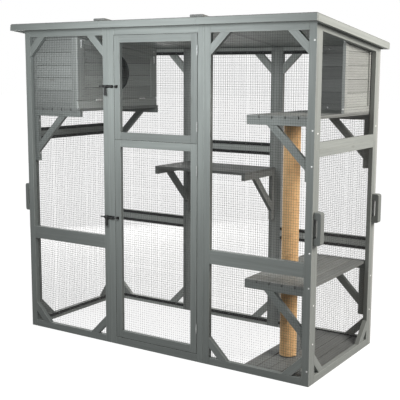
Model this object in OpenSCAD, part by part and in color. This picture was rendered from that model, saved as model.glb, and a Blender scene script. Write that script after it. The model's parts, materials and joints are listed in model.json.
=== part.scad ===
// Outdoor cat enclosure: framed wire walls, split door, sloping roof, shelves, condo and scratching post.
// Millimetres, +Z up. The origin is under the middle of the bounding box, on the ground.
// In the profiles below, t is the distance behind the outer face of the front wall.

/* [Walls] */
// Width over the side walls
width = 1800; // [1600:10:2000]
// Depth over the front and back walls
depth = 788; // [740:1:860]
// Height of the front wall
front_h = 1712; // [1680:1:1760]
// Height of the back wall
back_h = 1626; // [1580:1:1640]
// Thickness of the wall boards
wall_t = 24; // [18:1:28]
// Width of stiles, rails and braces
board_w = 38; // [30:1:45]
// Height of the wide middle rails
mid_h = 70; // [50:1:90]
// Underside of the middle rail of the outer panels
mid_z = 530; // [480:5:600]
// Underside of the middle rail of the middle back panel, which stands upside down
high_mid_z = 1014; // [970:1:1050]
// Reach of a corner brace along its stile and rail
brace_leg = 108; // [80:1:130]
// Height of the lower frame of a side wall
side_split_z = 1130; // [1050:5:1180]
// Height of the rails where the two side frames meet
split_rail_h = 34; // [24:1:44]

/* [Doors] */
// Width of the two jambs of the door frame
jamb_w = 36; // [28:1:45]
// Height of the sill under the lower door
sill_h = 42; // [30:1:60]
// Height of the header over the upper door
header_h = 37; // [28:1:60]
// Top of the lower door
door_split_z = 1130; // [1060:5:1170]
// Thickness of the door boards
door_t = 22; // [16:1:24]
// Gap round the doors
door_gap = 2; // [1.5:0.5:4]
// Gap on the hinge side, which holds the leaves
hinge_gap = 3.2; // [3:0.1:4]

/* [Door hinges] */
// Height of a hinge
hinge_h = 48; // [36:1:60]
// Thickness of a hinge leaf
leaf_t = 1.2; // [0.8:0.1:1.3]
// Diameter of a hinge knuckle
knuckle_d = 7; // [6:0.5:9]
// Diameter of a hinge pin
pin_d = 3; // [2.5:0.1:4]
// Distance of the lower door's hinges from its ends
lower_hinge_end = 134; // [80:1:200]
// Distance of the upper door's hinges from its ends
upper_hinge_end = 83; // [50:1:120]

/* [Door latches] */
// Height of the lower door's latch
lower_latch_z = 707; // [640:1:760]
// Height of the upper door's latch
upper_latch_z = 1408; // [1320:1:1480]
// Diameter of the sliding bolt
bolt_d = 7; // [6:0.5:8]
// Travel of the bolt into its catch
bolt_travel = 25; // [20:1:28]
// Length of the hanging lever below the bolt
lever_l = 48; // [36:1:60]
// Width of the lever
lever_w = 16; // [12:1:18]

/* [Wire nets] */
// Side of a net wire
wire = 2; // [1.5:0.1:3]
// Pitch of the wires
net_pitch = 57; // [52:1:80]
// How far a net's edge lies inside its frame's edge
net_margin = 14; // [8:1:20]

/* [Roof] */
// Overhang of the roof in front
front_over = 79; // [40:1:90]
// Overhang of the roof behind
back_over = 39; // [22:1:60]
// Overhang of the roof at each side
side_over = 35; // [22:1:44]
// Height of the fascia boards
fascia_h = 33; // [28:1:45]
// How far the fascia hangs below the tops of the walls
fascia_drop = 14.5; // [5:0.5:18]
// Thickness of the fascia boards
fascia_t = 20; // [15:1:25]
// Thickness of the ceiling boards
ceiling_t = 12; // [9:1:15]
// Thickness of the felted top sheets
sheet_t = 3; // [2:0.5:6]
// Width of the battens over the roof's seams
batten_w = 76; // [60:1:120]
// Thickness of the battens
batten_t = 12; // [8:1:18]

/* [Shelves] */
// Top of the two upper shelves
upper_shelf_z = 1283; // [1240:1:1300]
// Top of the lower right shelf
lower_shelf_z = 475; // [400:1:500]
// Top of the middle shelf on the back wall
mid_shelf_z = 948; // [900:1:970]
// Top of the floor deck
deck_z = 32; // [28:1:60]
// Thickness of the slats
slat_t = 15; // [12:1:18]
// Width of a slat
slat_w = 65; // [60:1:72]
// Gap between slats
slat_gap = 5; // [3:0.5:8]
// Number of slats of a shelf
slat_count = 5; // [4:1:5]
// Length of the middle shelf
mid_shelf_l = 600; // [500:10:640]

/* [Shelf brackets] */
// Length of a bracket's arm
arm_l = 345; // [300:1:358]
// Height of the arm and width of the leg
arm_h = 30; // [20:1:34]
// Thickness of the bracket's boards
bracket_t = 22; // [16:1:26]
// Height of a bracket
bracket_h = 288; // [250:1:300]
// Reach of the diagonal's outer edge along the arm
strut_reach = 235; // [200:1:240]
// Width of the diagonal
strut_w = 37; // [28:1:44]

/* [Condo and corner screens] */
// Width of the condo from the left net
condo_w = 334; // [310:1:345]
// Thickness of the framed screens
screen_t = 16; // [14:1:22]
// Thickness of the siding boards
siding_t = 9; // [7:1:12]
// Pitch of the siding boards
siding_pitch = 69; // [55:1:80]
// Groove between siding boards
groove = 1.6; // [1:0.2:3]
// Width of a screen's frame boards
screen_frame_w = 30; // [22:1:36]
// Width of the two corner screens of the nook
nook_w = 344; // [320:1:356]
// Diameter of the cat hole
hole_d = 200; // [160:2:210]
// Height of the cat hole's middle
hole_z = 1479; // [1460:1:1490]
// Distance of the cat hole behind the front wall
hole_t = 387; // [340:1:430]
// Height of the fixed rail under the hatch
sill_rail_h = 46; // [36:1:56]
// Height of the fixed rail over the hatch
top_rail_h = 38; // [32:1:50]
// Width of the hatch's stiles
hatch_stile_w = 58; // [40:1:70]
// Gap round the hatch
hatch_gap = 2.5; // [2:0.5:4]
// Thickness of the hatch's siding boards
hatch_board_t = 12; // [9:1:14]

/* [Hatch fittings] */
// Length of a hatch hinge
hatch_hinge_l = 55; // [40:1:70]
// Length of a hanging hook
hook_l = 36; // [28:1:42]
// Thickness of a hook
hook_t = 3; // [2:0.5:4]

/* [Scratching post] */
// Diameter over the sisal
post_d = 88; // [70:1:100]
// Diameter of the core tube
core_d = 72; // [50:1:76]
// Wall of the core tube
core_wall = 6; // [3:1:10]
// Distance of the post from the right outer face
post_s = 250; // [180:1:290]
// Distance of the post behind the front wall
post_t = 275; // [200:1:400]

/* [Carry handles] */
// Height of a handle
handle_h = 156; // [120:1:180]
// How far a handle stands out
handle_out = 38; // [32:1:60]
// Width of a handle along the wall
handle_w = 40; // [32:1:52]
// Bottom of a handle
handle_z = 688; // [620:1:760]
// Width of the finger slot
slot_w = 18; // [10:1:19]
// Height of the finger slot
slot_h = 90; // [80:1:110]
// Distance of a handle from the wall's outer face
handle_inset = 10; // [2:1:12]

/* [Hidden] */
// Joint between boards that touch
seam = 0.3;
// Running clearance on the radius of a pin
pin_fit = 0.1;
// Clearance on the radius of the sliding bolt
bolt_fit = 0.1;
round_fn = 48;

panel_w = width / 3;
half_w = width / 2;
front_y = (front_over - back_over - depth) / 2;
roof_slope = (front_h - back_h) / (depth - wall_t);
roof_a = atan(roof_slope);
net_t = 2 * wire + seam;
// Inner faces of the nets
inner_x = half_w - wall_t - seam - net_t;
inner_front = wall_t + seam + net_t;
inner_back = depth - inner_front;
brace_near = brace_leg - board_w * sqrt(2);
shelf_w = slat_count * slat_w + (slat_count - 1) * slat_gap;
strut_near = strut_reach - strut_w * sqrt(2);
door_left = -panel_w / 2 + jamb_w + door_gap;
door_right = panel_w / 2 - jamb_w - hinge_gap;
axis_x = door_right + hinge_gap / 2;
axis_t = -knuckle_d / 2 - seam;
door_top = front_h - header_h - door_gap;
condo_x = -inner_x + condo_w;
condo_front = inner_front + seam;
condo_back = inner_back - seam;
hatch_z = upper_shelf_z + sill_rail_h;
grey = "#8d9895";
dark_grey = "#747d7b";
zinc = "#c9cccd";
black = "#1c1e1e";
sisal = "#b98a58";
felt_grey = "#5a5c5b";
wire_grey = "#3a3d3d";

// Height of the roof's underside over a place t
function roof_z(t) = front_h - roof_slope * (t - wall_t);

// Profile in X and Z, extruded back from t
module standing(t, thick)
    translate([0, front_y + t + thick, 0]) rotate([90, 0, 0]) linear_extrude(thick) children();

// Profile in t and Z, extruded towards +X from x
module flanking(x, thick)
    translate([x, front_y, 0]) rotate([90, 0, 90]) linear_extrude(thick) children();

// Profile in X and t, extruded up from z
module lying(z, thick)
    translate([0, front_y, z]) linear_extrude(thick) children();

// Rectangle between two corners
module bar(a0, a1, b0, b1)
    translate([a0, b0]) square([a1 - a0, b1 - b0]);

// Corner brace cut to its stile and rail, in the corner a, b and turned by the signs
module brace(a, b, sign_a, sign_b) {
    cut = [[brace_near, seam], [brace_leg, seam], [seam, brace_leg], [seam, brace_near]];
    polygon([for (p = cut) [a + sign_a * p[0], b + sign_b * p[1]]]);
}

// Boards of a rectangular wall panel with its middle rail and corner braces
module panel_boards(x0, x1, top, mid) {
    left = x0 + board_w;
    right = x1 - board_w;
    bar(x0, left, 0, top);
    bar(right, x1, 0, top);
    bar(left + seam, right - seam, 0, board_w);
    bar(left + seam, right - seam, top - board_w, top);
    bar(left + seam, right - seam, mid, mid + mid_h);
    brace(left, board_w, 1, 1);
    brace(right, board_w, -1, 1);
    brace(left, top - board_w, 1, -1);
    brace(right, top - board_w, -1, -1);
}

module front_panel(x0)
    color(grey) standing(0, wall_t)
        panel_boards(x0 + seam / 2, x0 + panel_w - seam / 2, front_h, mid_z);

module front_left_panel() front_panel(-half_w);
module front_right_panel() front_panel(panel_w / 2);

module front_door_frame() {
    left = -panel_w / 2 + seam / 2;
    right = -left;
    color(grey) standing(0, wall_t) {
        bar(left, left + jamb_w, 0, front_h);
        bar(right - jamb_w, right, 0, front_h);
        bar(left + jamb_w + seam, right - jamb_w - seam, 0, sill_h);
        bar(left + jamb_w + seam, right - jamb_w - seam, front_h - header_h, front_h);
    }
}

module back_panel(x0, mid)
    color(dark_grey) standing(depth - wall_t, wall_t)
        panel_boards(x0 + seam / 2, x0 + panel_w - seam / 2, back_h, mid);

module back_left_panel() back_panel(-half_w, mid_z);
// The middle panel stands upside down, so its rail is high
module back_middle_panel() back_panel(-panel_w / 2, high_mid_z);
module back_right_panel() back_panel(panel_w / 2, mid_z);

side_front = wall_t + seam;
side_back = depth - wall_t - seam;

module lower_frame_boards() {
    front = side_front + board_w;
    back = side_back - board_w;
    top = side_split_z - seam;
    bar(side_front, front, 0, top);
    bar(back, side_back, 0, top);
    bar(front + seam, back - seam, 0, board_w);
    bar(front + seam, back - seam, top - split_rail_h, top);
    brace(front, board_w, 1, 1);
    brace(back, board_w, -1, 1);
}

// Strip of the given height under the roof line, from t0 to t1
module roof_strip(t0, t1, high)
    polygon([[t0, roof_z(t0) - high], [t1, roof_z(t1) - high], [t1, roof_z(t1)], [t0, roof_z(t0)]]);

module upper_frame_boards() {
    front = side_front + board_w;
    back = side_back - board_w;
    low = side_split_z;
    polygon([[side_front, low], [front, low], [front, roof_z(front)], [side_front, roof_z(side_front)]]);
    polygon([[back, low], [side_back, low], [side_back, roof_z(side_back)], [back, roof_z(back)]]);
    bar(front + seam, back - seam, low, low + split_rail_h);
    roof_strip(front + seam, back - seam, board_w);
}

module left_lower_frame() color(grey) flanking(-half_w, wall_t) lower_frame_boards();
module left_upper_frame() color(grey) flanking(-half_w, wall_t) upper_frame_boards();
module right_lower_frame() color(grey) flanking(half_w - wall_t, wall_t) lower_frame_boards();
module right_upper_frame() color(grey) flanking(half_w - wall_t, wall_t) upper_frame_boards();

module door_boards(z0, z1) {
    inner_left = door_left + board_w;
    inner_right = door_right - board_w;
    bar(door_left, inner_left, z0, z1);
    bar(inner_right, door_right, z0, z1);
    bar(inner_left + seam, inner_right - seam, z0, z0 + board_w);
    bar(inner_left + seam, inner_right - seam, z1 - board_w, z1);
}

lower_door_z = [sill_h + door_gap, door_split_z - door_gap / 2];
upper_door_z = [door_split_z + door_gap / 2, door_top];
lower_hinge_z = [lower_door_z[0] + lower_hinge_end, lower_door_z[1] - lower_hinge_end];
upper_hinge_z = [upper_door_z[0] + upper_hinge_end, upper_door_z[1] - upper_hinge_end];
module lower_door() color(grey) standing(0, door_t) door_boards(lower_door_z[0], lower_door_z[1]);
module upper_door() color(grey) standing(0, door_t) door_boards(upper_door_z[0], upper_door_z[1]);

// Places of the wires from a to b
function wire_places(a, b) =
    let (n = round((b - a) / net_pitch)) [for (i = [0:n]) a + i * (b - a - wire) / n];

module upright_wires(x0, x1, z0, z1)
    for (x = wire_places(x0, x1)) bar(x, x + wire, z0, z1);

module level_wires(x0, x1, z0, z1)
    for (z = wire_places(z0, z1)) bar(x0, x1, z, z + wire);

// A flat net of two layers of wires, behind t
module standing_net(x0, x1, z0, z1, t) {
    standing(t, wire) upright_wires(x0, x1, z0, z1);
    standing(t + wire + seam / 2, wire) level_wires(x0, x1, z0, z1);
}

module net_front_left()
    color(wire_grey) standing_net(-inner_x, -panel_w / 2 - net_margin, net_margin,
        front_h - net_margin, wall_t + seam / 2);

module net_front_right()
    color(wire_grey) standing_net(panel_w / 2 + net_margin, inner_x, net_margin,
        front_h - net_margin, wall_t + seam / 2);

module net_back() {
    t = depth - wall_t - net_t;
    color(wire_grey) {
        standing_net(-inner_x, -panel_w / 2 - net_margin, net_margin, back_h - net_margin, t);
        standing_net(-panel_w / 2 + net_margin, panel_w / 2 - net_margin, net_margin,
            back_h - net_margin, t);
        standing_net(panel_w / 2 + net_margin, inner_x, net_margin, back_h - net_margin, t);
    }
}

module door_net(z)
    color(wire_grey) standing_net(door_left + net_margin, door_right - net_margin,
        z[0] + net_margin, z[1] - net_margin, door_t + seam / 2);

module net_lower_door() door_net(lower_door_z);
module net_upper_door() door_net(upper_door_z);

// Place behind the front wall where the net's sloping edge reaches the height z
function net_end(z) = min(inner_back, wall_t + (front_h - net_margin - z) / roof_slope);

module side_net(x) {
    low = side_split_z + net_margin;
    high = roof_z(inner_front) - net_margin;
    color(wire_grey) {
        flanking(x, wire) {
            upright_wires(inner_front, inner_back, net_margin, side_split_z - net_margin);
            for (t = wire_places(inner_front, inner_back))
                bar(t, t + wire, low, roof_z(t + wire) - net_margin);
        }
        flanking(x + wire + seam / 2, wire) {
            level_wires(inner_front, inner_back, net_margin, side_split_z - net_margin);
            for (z = wire_places(low, high)) bar(inner_front, net_end(z + wire) + seam, z, z + wire);
        }
    }
}

module net_left() side_net(-half_w + wall_t + seam / 2);
module net_right() side_net(inner_x + seam / 2);

// A tube between two heights
module tube(outer, bore, z0, z1)
    translate([0, 0, z0]) difference() {
        cylinder(h = z1 - z0, d = outer, $fn = round_fn);
        translate([0, 0, -1]) cylinder(h = z1 - z0 + 2, d = bore, $fn = round_fn);
    }

knuckle_h = hinge_h / 3;
knuckle_bore = pin_d + 2 * pin_fit;
leaf_reach = door_t - 4;

// Leaf beside the hinge line with its knuckles, each given as its lower and upper end; side is 1 or -1
module hinge_leaf(side, knuckles) {
    near = side > 0 ? hinge_gap / 2 - leaf_t - seam / 2 : seam / 2 - hinge_gap / 2;
    back = leaf_reach - axis_t;
    translate([near, knuckle_d / 2 + seam, 0]) cube([leaf_t, back - knuckle_d / 2 - seam, hinge_h]);
    for (k = knuckles) difference() {
        union() {
            translate([0, 0, k[0]]) cylinder(h = k[1] - k[0], d = knuckle_d, $fn = round_fn);
            translate([near, 0, k[0]]) cube([leaf_t, knuckle_d / 2 + seam, k[1] - k[0]]);
        }
        translate([0, 0, k[0] - 1]) cylinder(h = k[1] - k[0] + 2, d = knuckle_bore, $fn = round_fn);
    }
}

module at_hinge(z) translate([axis_x, front_y + axis_t, z - hinge_h / 2]) children();

module post_hinge_leaves()
    color(zinc) for (z = concat(lower_hinge_z, upper_hinge_z))
        at_hinge(z) hinge_leaf(1, [[0, knuckle_h - seam], [2 * knuckle_h + seam, hinge_h]]);

module door_leaves(heights)
    color(zinc) for (z = heights)
        at_hinge(z) hinge_leaf(-1, [[knuckle_h, 2 * knuckle_h]]);

module lower_door_leaves() door_leaves(lower_hinge_z);
module upper_door_leaves() door_leaves(upper_hinge_z);

module hinge_pins()
    color(zinc) for (z = concat(lower_hinge_z, upper_hinge_z)) at_hinge(z) {
        cylinder(h = hinge_h, d = pin_d, $fn = round_fn);
        translate([0, 0, hinge_h + seam]) cylinder(h = 1.5, d = knuckle_d - 1, $fn = round_fn);
        translate([0, 0, hinge_h - 1]) cylinder(h = 2, d = pin_d, $fn = round_fn);
    }

plate_t = 1.6;
plate_h = 15;
guide_w = 8;
guide_d = bolt_d + 6;
bolt_out = plate_t + guide_d / 2 + 1;
bolt_bore = bolt_d + 2 * bolt_fit;
hub_d = bolt_d + 6;
plate_end = 4;
lever_play = 1.5;
plate_x1 = -panel_w / 2 + jamb_w - plate_end;
guide_inner_x = plate_x1 - plate_end - guide_w;
// The bolt rests drawn back, with its end level with the jamb's edge and its lever at the outer guide
bolt_x1 = door_left - door_gap - 1;
lever_x = guide_inner_x - lever_play - bolt_travel - lever_w;
guide_outer_x = lever_x - lever_play - guide_w;
bolt_l = bolt_x1 + bolt_travel - guide_outer_x;
catch_x = door_left + 12;

// Along the bolt of a latch at height z, with the local Z axis along +X
module on_bolt(z) translate([0, front_y - bolt_out, z]) rotate([0, 90, 0]) children();

// Ring round the bolt with its foot on the plate
module guide(x, z) {
    difference() {
        union() {
            on_bolt(z) translate([0, 0, x]) cylinder(h = guide_w, d = guide_d, $fn = round_fn);
            translate([x, front_y - bolt_out, z - guide_d / 2]) cube([guide_w, bolt_out - seam / 2, guide_d]);
        }
        on_bolt(z) translate([0, 0, x - 1]) cylinder(h = guide_w + 2, d = bolt_bore, $fn = round_fn);
    }
}

module latch_plates()
    color(black) for (z = [lower_latch_z, upper_latch_z]) {
        translate([guide_outer_x, front_y - plate_t - seam / 2, z - plate_h / 2])
            cube([plate_x1 - guide_outer_x, plate_t, plate_h]);
        guide(guide_outer_x, z);
        guide(guide_inner_x, z);
    }

module latch_bolt(z)
    color(black) on_bolt(z) translate([0, 0, bolt_x1 - bolt_l])
        cylinder(h = bolt_l, d = bolt_d, $fn = round_fn);

module lower_latch_bolt() latch_bolt(lower_latch_z);
module upper_latch_bolt() latch_bolt(upper_latch_z);

// Hub on the bolt with a paddle that widens downwards to a round end
module latch_lever(z) {
    paddle_t = 5;
    color(black) difference() {
        union() {
            on_bolt(z) translate([0, 0, lever_x]) cylinder(h = lever_w, d = hub_d, $fn = round_fn);
            translate([lever_x + lever_w / 2, front_y - bolt_out - hub_d / 2 + paddle_t, z])
                rotate([90, 0, 0]) linear_extrude(paddle_t) {
                    polygon([[-4, 0], [4, 0], [lever_w / 2, lever_w / 2 - lever_l],
                        [-lever_w / 2, lever_w / 2 - lever_l]]);
                    translate([0, lever_w / 2 - lever_l]) circle(d = lever_w, $fn = round_fn);
                }
        }
        on_bolt(z) translate([0, 0, lever_x - 1])
            cylinder(h = lever_w + 2, d = bolt_bore, $fn = round_fn);
        translate([lever_x + lever_w / 2, front_y - bolt_out, z + lever_w / 2 - lever_l])
            rotate([90, 0, 0]) cylinder(h = hub_d, d = 5, $fn = round_fn);
    }
}

module lower_latch_lever() latch_lever(lower_latch_z);
module upper_latch_lever() latch_lever(upper_latch_z);

module latch_catch(z)
    color(black) {
        translate([catch_x - plate_end, front_y - plate_t - seam / 2, z - plate_h / 2])
            cube([guide_w + 2 * plate_end, plate_t, plate_h]);
        guide(catch_x, z);
    }

module lower_latch_catch() latch_catch(lower_latch_z);
module upper_latch_catch() latch_catch(upper_latch_z);

// Roof plane: X across, Y down the slope from the front wall's rear top edge
module on_roof()
    translate([0, front_y + wall_t, front_h + seam]) rotate([-roof_a, 0, 0]) children();

// Height of the roof's boards over the tops of the walls
roof_rise = fascia_h - fascia_drop;
roof_y0 = -(front_over + wall_t) / cos(roof_a) + fascia_drop * tan(roof_a);
roof_y1 = (depth - wall_t + back_over) / cos(roof_a) - roof_rise * tan(roof_a);
rib_w = 30;
ceiling_count = 5;
// Set-back of the sheets and battens from the roof's edge
sheet_edge = 3;

// Side board of a roof panel: it hangs beside the wall at the roof's end, and lies on the walls at a seam
module roof_side(x, at_end)
    translate([0, 0, at_end ? -fascia_drop : 0]) linear_extrude(at_end ? fascia_h : roof_rise)
        bar(x, x + fascia_t, roof_y0 + fascia_t + seam, roof_y1 - fascia_t - seam);

// Fascia frame, ribs and lengthwise ceiling boards of one roof panel
module roof_panel(x0, x1, left_end, right_end) {
    left = x0 + seam / 2;
    right = x1 - seam / 2;
    room = right - left - 2 * fascia_t;
    pitch = room / ceiling_count;
    color(grey) on_roof() {
        translate([0, 0, -fascia_drop]) linear_extrude(fascia_h) {
            bar(left, right, roof_y0, roof_y0 + fascia_t);
            bar(left, right, roof_y1 - fascia_t, roof_y1);
        }
        roof_side(left, left_end);
        roof_side(right - fascia_t, right_end);
        linear_extrude(ceiling_t) for (i = [0:ceiling_count - 1])
            bar(left + fascia_t + i * pitch + groove / 2, left + fascia_t + (i + 1) * pitch - groove / 2,
                roof_y0 + fascia_t + seam, roof_y1 - fascia_t - seam);
        translate([0, 0, ceiling_t + seam]) linear_extrude(roof_rise - ceiling_t - seam)
            for (k = [1, 2])
                bar(left + fascia_t + seam, right - fascia_t - seam,
                    roof_y0 + k * (roof_y1 - roof_y0) / 3, roof_y0 + k * (roof_y1 - roof_y0) / 3 + rib_w);
    }
}

roof_x = half_w + side_over;
module roof_left() roof_panel(-roof_x, -panel_w / 2, true, false);
module roof_middle() roof_panel(-panel_w / 2, panel_w / 2, false, false);
module roof_right() roof_panel(panel_w / 2, roof_x, false, true);

module roof_sheets()
    color(felt_grey) on_roof() translate([0, 0, roof_rise + seam]) linear_extrude(sheet_t)
        for (x = [[-roof_x + sheet_edge, -panel_w / 2 - seam], [seam - panel_w / 2, panel_w / 2 - seam],
            [panel_w / 2 + seam, roof_x - sheet_edge]])
            bar(x[0], x[1], roof_y0 + sheet_edge, roof_y1 - sheet_edge);

module roof_battens()
    color(felt_grey) on_roof() translate([0, 0, roof_rise + sheet_t + 2 * seam])
        linear_extrude(batten_t) for (x = [-panel_w / 2, panel_w / 2])
            bar(x - batten_w / 2, x + batten_w / 2, roof_y0 + sheet_edge, roof_y1 - sheet_edge);

// Slats along Y from x0, with their top at z
module slats(x0, z)
    color(dark_grey) lying(z - slat_t, slat_t) for (i = [0:slat_count - 1])
        bar(x0 + i * (slat_w + slat_gap), x0 + i * (slat_w + slat_gap) + slat_w,
            inner_front + seam, inner_back - seam);

module upper_left_shelf() slats(-inner_x + seam, upper_shelf_z);
module upper_right_shelf() slats(inner_x - seam - shelf_w, upper_shelf_z);
module lower_right_shelf() slats(inner_x - seam - shelf_w, lower_shelf_z);

module floor_deck() {
    slats(inner_x - seam - shelf_w, deck_z);
    color(dark_grey) lying(0, deck_z - slat_t - seam)
        for (t = [inner_front + seam, depth / 2 - bracket_t / 2, inner_back - seam - bracket_t])
            bar(inner_x - seam - shelf_w, inner_x - seam, t, t + bracket_t);
}

module middle_shelf() {
    back = inner_back - seam;
    color(dark_grey) lying(mid_shelf_z - slat_t, slat_t) for (i = [0:slat_count - 1])
        bar(-mid_shelf_l / 2, mid_shelf_l / 2,
            back - i * (slat_w + slat_gap) - slat_w, back - i * (slat_w + slat_gap));
}

// Arm, leg and diagonal of a bracket against the wall at 0, under 0
module bracket_boards() {
    bar(0, arm_l, -arm_h, 0);
    bar(0, arm_h, -bracket_h, -arm_h - seam);
    polygon([[strut_reach, -arm_h - seam], [strut_near, -arm_h - seam],
        [arm_h + seam, -strut_near], [arm_h + seam, -strut_reach]]);
}

// Two brackets on a side wall, at the front and the back; side is 1 for the right wall
module side_brackets(side, shelf_z) {
    color(dark_grey) for (t = [inner_front + seam, inner_back - seam - bracket_t])
        translate([side * (inner_x - seam), front_y + t + bracket_t, shelf_z - slat_t - seam])
            rotate([90, 0, 0]) linear_extrude(bracket_t) mirror([side > 0 ? 1 : 0, 0])
                bracket_boards();
}

module upper_left_brackets() side_brackets(-1, upper_shelf_z);
module upper_right_brackets() side_brackets(1, upper_shelf_z);
module lower_right_brackets() side_brackets(1, lower_shelf_z);

module middle_shelf_brackets()
    color(dark_grey) for (x = [-mid_shelf_l / 2, mid_shelf_l / 2 - bracket_t])
        translate([x, front_y + inner_back - seam, mid_shelf_z - slat_t - seam])
            rotate([90, 0, 90]) linear_extrude(bracket_t) mirror([1, 0]) bracket_boards();

// Region between two places and from a height up to a limit line under the roof
module under_roof(t0, t1, z0, drop)
    polygon([[t0, z0], [t1, z0], [t1, roof_z(t1) - drop], [t0, roof_z(t0) - drop]]);

module siding(a0, a1, z0, z1)
    for (i = [0:ceil((z1 - z0) / siding_pitch) - 1])
        bar(a0, a1, z0 + i * siding_pitch, min(z1, z0 + (i + 1) * siding_pitch - groove));

screen_z0 = upper_shelf_z + seam;

// Framed siding parallel to the front wall, from x0 to x1, with its top at the height top
module standing_screen(x0, x1, t, top, siding_back) {
    w = screen_frame_w;
    color(grey) standing(t, screen_t) {
        bar(x0, x0 + w, screen_z0, top);
        bar(x1 - w, x1, screen_z0, top);
        bar(x0 + w + seam, x1 - w - seam, screen_z0, screen_z0 + w);
        bar(x0 + w + seam, x1 - w - seam, top - w, top);
    }
    color(dark_grey) standing(t + (siding_back ? screen_t - siding_t : 0), siding_t)
        siding(x0 + w + seam, x1 - w - seam, screen_z0 + w + seam, top - w - seam);
}

// Framed siding along a side wall, from t0 to t1, with a sloping top
module flanking_screen(x, t0, t1, siding_x) {
    w = screen_frame_w;
    color(grey) flanking(x, screen_t) {
        under_roof(t0, t0 + w, screen_z0, seam);
        under_roof(t1 - w, t1, screen_z0, seam);
        bar(t0 + w + seam, t1 - w - seam, screen_z0, screen_z0 + w);
        translate([0, -seam]) roof_strip(t0 + w + seam, t1 - w - seam, w);
    }
    color(dark_grey) flanking(x + siding_x, siding_t) intersection() {
        siding(t0 + w + seam, t1 - w - seam, screen_z0 + w + seam, front_h);
        under_roof(t0 + w + seam, t1 - w - seam, screen_z0, w + 2 * seam);
    }
}

condo_body_x1 = condo_x - screen_t - seam;

module condo_front_screen()
    standing_screen(-inner_x + seam, condo_body_x1, condo_front,
        roof_z(condo_front + screen_t) - seam, false);

module condo_back_screen()
    standing_screen(-inner_x + seam, condo_body_x1, condo_back - screen_t,
        roof_z(condo_back) - seam, true);

module condo_outer_screen()
    flanking_screen(-inner_x + seam, condo_front + screen_t + seam,
        condo_back - screen_t - seam, screen_t - siding_t);

module condo_rails()
    color(grey) flanking(condo_x - screen_t, screen_t) {
        bar(condo_front, condo_back, screen_z0, hatch_z - hatch_gap);
        translate([0, -seam]) roof_strip(condo_front, condo_back, top_rail_h);
    }

hatch_drop = top_rail_h + seam + hatch_gap;

// Hinged inner wall of the condo with its round cat hole
module condo_hatch() {
    w = hatch_stile_w;
    color(grey) flanking(condo_x - screen_t, screen_t) {
        under_roof(condo_front, condo_front + w, hatch_z, hatch_drop);
        under_roof(condo_back - w, condo_back, hatch_z, hatch_drop);
        translate([0, -hatch_drop])
            roof_strip(condo_front + w + seam, condo_back - w - seam, screen_frame_w);
    }
    color(dark_grey) flanking(condo_x - screen_t, hatch_board_t) difference() {
        intersection() {
            siding(condo_front + w + seam, condo_back - w - seam, hatch_z, front_h);
            under_roof(condo_front + w + seam, condo_back - w - seam, hatch_z,
                hatch_drop + screen_frame_w + seam);
        }
        translate([hole_t, hole_z]) circle(d = hole_d, $fn = 96);
    }
}

hatch_hinge_t = [204, 605];
hatch_axis_x = condo_x + knuckle_d / 2 + seam;
hatch_axis_z = hatch_z - hatch_gap / 2;
hatch_knuckle = hatch_hinge_l / 3;

// Along the hatch's hinge line, with the local Z axis along -Y and the local Y axis up
module at_hatch_hinge(t)
    translate([hatch_axis_x, front_y + t + hatch_hinge_l / 2, hatch_axis_z])
        rotate([90, 0, 0]) children();

// Surface leaf with its knuckles; up is 1 for the leaf above the hinge line
module surface_leaf(up, knuckles) {
    x = -knuckle_d / 2 - seam / 2;
    far = 16;
    near = knuckle_d / 2 + seam;
    translate([x, up > 0 ? near : -far, 0]) cube([leaf_t, far - near, hatch_hinge_l]);
    for (k = knuckles) difference() {
        union() {
            translate([0, 0, k[0]]) cylinder(h = k[1] - k[0], d = knuckle_d, $fn = round_fn);
            translate([x, up > 0 ? 0 : -near, k[0]]) cube([leaf_t, near, k[1] - k[0]]);
        }
        translate([0, 0, k[0] - 1]) cylinder(h = k[1] - k[0] + 2, d = knuckle_bore, $fn = round_fn);
    }
}

hook_t_places = [condo_front + hatch_stile_w / 2, condo_back - hatch_stile_w / 2];
hook_drop = hatch_drop + 16;
function hook_z(t) = roof_z(t) - hook_drop;
hook_pin_d = 5;
stud_d = 3.4;

module on_hatch_face(t, z) translate([condo_x + seam / 2, front_y + t, z]) rotate([0, 90, 0]) children();

hook_reach = hook_l - 4;
// Distance of a hook from the hatch's face, over its boss
hook_off = 2;
boss_h = hook_off - seam;
head_h = 1.4;

// Stud on the fixed rail over each hook, which the hook's notch takes in when it is turned up
module hook_stud(t)
    on_hatch_face(t, hook_z(t) + hook_reach) {
        cylinder(h = boss_h, d = 9, $fn = round_fn);
        cylinder(h = hook_off + hook_t + 1, d = stud_d, $fn = round_fn);
        translate([0, 0, hook_off + hook_t + 1]) cylinder(h = head_h, d = 8, $fn = round_fn);
    }

module hatch_rail_fittings()
    color(zinc) {
        for (t = hatch_hinge_t) at_hatch_hinge(t) {
            surface_leaf(-1, [[0, hatch_knuckle - seam], [2 * hatch_knuckle + seam, hatch_hinge_l]]);
            translate([0, 0, -1]) cylinder(h = hatch_hinge_l + 2, d = pin_d, $fn = round_fn);
        }
        for (t = hook_t_places) hook_stud(t);
    }

module hatch_fittings()
    color(zinc) {
        for (t = hatch_hinge_t) at_hatch_hinge(t)
            surface_leaf(1, [[hatch_knuckle, 2 * hatch_knuckle]]);
        for (t = hook_t_places) on_hatch_face(t, hook_z(t)) {
            cylinder(h = boss_h, d = 12, $fn = round_fn);
            cylinder(h = hook_off + hook_t + seam, d = hook_pin_d, $fn = round_fn);
            translate([0, 0, hook_off + hook_t + seam]) cylinder(h = head_h, d = 9, $fn = round_fn);
        }
    }

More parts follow.
